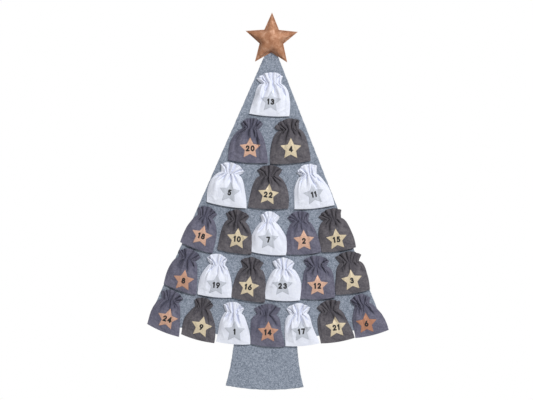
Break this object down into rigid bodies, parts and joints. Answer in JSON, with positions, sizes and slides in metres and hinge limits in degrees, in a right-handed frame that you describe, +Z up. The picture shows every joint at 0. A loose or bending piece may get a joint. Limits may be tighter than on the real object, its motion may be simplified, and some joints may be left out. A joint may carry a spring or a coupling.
{
  "type": "felt advent calendar",
  "caption": "Tree-shaped felt wall hanging with a padded star on top and rows of small gathered cloth bags, each with a numbered glitter star, that lift on their tacks.",
  "frame": {"origin": "centre of the hanging eyelet at the back of the felt, where a nail comes out of the wall", "axes": "+Z up along the tree, +Y into the wall, so the front with the bags looks along -Y"},
  "size_m": [0.6386, 0.027, 0.995],
  "materials": {
    "felt": "thick mottled grey felt",
    "eyelet_brass": "polished",
    "copper_cloth": "coated cloth, satin copper",
    "filling": "loose fibre",
    "thread": "twisted sewing thread",
    "cotton_white": "plain-weave cotton",
    "cotton_plum": "plain-weave cotton",
    "cotton_slate": "plain-weave cotton",
    "glitter_silver": "fine glitter",
    "glitter_copper": "fine glitter",
    "glitter_gold": "fine glitter",
    "number_ink": "printed, matt"
  },
  "bodies": {
    "tree": {"felt_tree": "felt", "hang_eyelet": "eyelet_brass", "star_back": "copper_cloth", "star_front": "copper_cloth", "star_filling": "filling", "tack_threads": "thread"},
    "day_01": {"bag_01": "cotton_white", "number_star_01": "glitter_silver"},
    "day_02": {"bag_02": "cotton_plum", "number_star_02": "glitter_copper"},
    "day_03": {"bag_03": "cotton_slate", "number_star_03": "glitter_gold"},
    "day_04": {"bag_04": "cotton_slate", "number_star_04": "glitter_gold"},
    "day_05": {"bag_05": "cotton_white", "number_star_05": "glitter_silver"},
    "day_06": {"bag_06": "cotton_plum", "number_star_06": "glitter_copper"},
    "day_07": {"bag_07": "cotton_white", "number_star_07": "glitter_silver"},
    "day_08": {"bag_08": "cotton_plum", "number_star_08": "glitter_copper"},
    "day_09": {"bag_09": "cotton_slate", "number_star_09": "glitter_gold"},
    "day_10": {"bag_10": "cotton_slate", "number_star_10": "glitter_gold"},
    "day_11": {"bag_11": "cotton_white", "number_star_11": "glitter_silver"},
    "day_12": {"bag_12": "cotton_plum", "number_star_12": "glitter_copper"},
    "day_13": {"bag_13": "cotton_white", "number_star_13": "glitter_silver"},
    "day_14": {"bag_14": "cotton_plum", "number_star_14": "glitter_copper"},
    "day_15": {"bag_15": "cotton_slate", "number_star_15": "glitter_gold"},
    "day_16": {"bag_16": "cotton_slate", "number_star_16": "glitter_gold"},
    "day_17": {"bag_17": "cotton_white", "number_star_17": "glitter_silver"},
    "day_18": {"bag_18": "cotton_plum", "number_star_18": "glitter_copper"},
    "day_19": {"bag_19": "cotton_white", "number_star_19": "glitter_silver"},
    "day_20": {"bag_20": "cotton_plum", "number_star_20": "glitter_copper"},
    "day_21": {"bag_21": "cotton_slate", "number_star_21": "glitter_gold"},
    "day_22": {"bag_22": "cotton_slate", "number_star_22": "glitter_gold"},
    "day_23": {"bag_23": "cotton_white", "number_star_23": "glitter_silver"},
    "day_24": {"bag_24": "cotton_plum", "number_star_24": "glitter_copper"}
  },
  "joints": [
    {"name": "lift_01", "type": "hinge", "parent": "tree", "child": "day_01", "pos_m": [-0.08164, -0.00578, -0.69656], "axis": [-0.9954, 0, 0.0958], "range_deg": [0, 40]},
    {"name": "lift_02", "type": "hinge", "parent": "tree", "child": "day_02", "pos_m": [0.08453, -0.00578, -0.45305], "axis": [-0.9976, 0, -0.0698], "range_deg": [0, 40]},
    {"name": "lift_03", "type": "hinge", "parent": "tree", "child": "day_03", "pos_m": [0.21379, -0.00578, -0.5569], "axis": [-0.9877, 0, -0.1564], "range_deg": [0, 40]},
    {"name": "lift_04", "type": "hinge", "parent": "tree", "child": "day_04", "pos_m": [0.05028, -0.00578, -0.2108], "axis": [-0.9976, 0, -0.0698], "range_deg": [0, 40]},
    {"name": "lift_05", "type": "hinge", "parent": "tree", "child": "day_05", "pos_m": [-0.09868, -0.00578, -0.3297], "axis": [-0.9877, 0, 0.1564], "range_deg": [0, 40]},
    {"name": "lift_06", "type": "hinge", "parent": "tree", "child": "day_06", "pos_m": [0.24809, -0.00578, -0.66871], "axis": [-0.9659, 0, -0.2588], "range_deg": [0, 40]},
    {"name": "lift_07", "type": "hinge", "parent": "tree", "child": "day_07", "pos_m": [0.0029, -0.00578, -0.45597], "axis": [-0.9997, 0, 0.0262], "range_deg": [0, 40]},
    {"name": "lift_08", "type": "hinge", "parent": "tree", "child": "day_08", "pos_m": [-0.20715, -0.00578, -0.55816], "axis": [-0.9763, 0, 0.2164], "range_deg": [0, 40]},
    {"name": "lift_09", "type": "hinge", "parent": "tree", "child": "day_09", "pos_m": [-0.16337, -0.00578, -0.68641], "axis": [-0.9816, 0, 0.1908], "range_deg": [0, 40]},
    {"name": "lift_10", "type": "hinge", "parent": "tree", "child": "day_10", "pos_m": [-0.07876, -0.00578, -0.45361], "axis": [-0.9925, 0, 0.1219], "range_deg": [0, 40]},
    {"name": "lift_11", "type": "hinge", "parent": "tree", "child": "day_11", "pos_m": [0.10251, -0.00578, -0.32916], "axis": [-0.9925, 0, -0.1219], "range_deg": [0, 40]},
    {"name": "lift_12", "type": "hinge", "parent": "tree", "child": "day_12", "pos_m": [0.13094, -0.00578, -0.57014], "axis": [-0.9976, 0, -0.0698], "range_deg": [0, 40]},
    {"name": "lift_13", "type": "hinge", "parent": "tree", "child": "day_13", "pos_m": [0.00483, -0.00578, -0.09004], "axis": [-0.999, 0, 0.0436], "range_deg": [0, 40]},
    {"name": "lift_14", "type": "hinge", "parent": "tree", "child": "day_14", "pos_m": [0.00097, -0.00578, -0.69994], "axis": [-1, 0, 0.0087], "range_deg": [0, 40]},
    {"name": "lift_15", "type": "hinge", "parent": "tree", "child": "day_15", "pos_m": [0.16623, -0.00578, -0.44485], "axis": [-0.9863, 0, -0.165], "range_deg": [0, 40]},
    {"name": "lift_16", "type": "hinge", "parent": "tree", "child": "day_16", "pos_m": [-0.0385, -0.00578, -0.57731], "axis": [-0.9976, 0, 0.0698], "range_deg": [0, 40]},
    {"name": "lift_17", "type": "hinge", "parent": "tree", "child": "day_17", "pos_m": [0.0826, -0.00578, -0.69647], "axis": [-0.9962, 0, -0.0872], "range_deg": [0, 40]},
    {"name": "lift_18", "type": "hinge", "parent": "tree", "child": "day_18", "pos_m": [-0.1596, -0.00578, -0.44617], "axis": [-0.9744, 0, 0.225], "range_deg": [0, 40]},
    {"name": "lift_19", "type": "hinge", "parent": "tree", "child": "day_19", "pos_m": [-0.12613, -0.00578, -0.57058], "axis": [-0.9936, 0, 0.1132], "range_deg": [0, 40]},
    {"name": "lift_20", "type": "hinge", "parent": "tree", "child": "day_20", "pos_m": [-0.05028, -0.00578, -0.2108], "axis": [-0.9976, 0, 0.0698], "range_deg": [0, 40]},
    {"name": "lift_21", "type": "hinge", "parent": "tree", "child": "day_21", "pos_m": [0.16432, -0.00578, -0.68623], "axis": [-0.9833, 0, -0.1822], "range_deg": [0, 40]},
    {"name": "lift_22", "type": "hinge", "parent": "tree", "child": "day_22", "pos_m": [0.00097, -0.00578, -0.33394], "axis": [-1, 0, 0.0087], "range_deg": [0, 40]},
    {"name": "lift_23", "type": "hinge", "parent": "tree", "child": "day_23", "pos_m": [0.04622, -0.00578, -0.57704], "axis": [-1, 0, 0], "range_deg": [0, 40]},
    {"name": "lift_24", "type": "hinge", "parent": "tree", "child": "day_24", "pos_m": [-0.24623, -0.00578, -0.66922], "axis": [-0.9613, 0, 0.2756], "range_deg": [0, 40]}
  ]
}
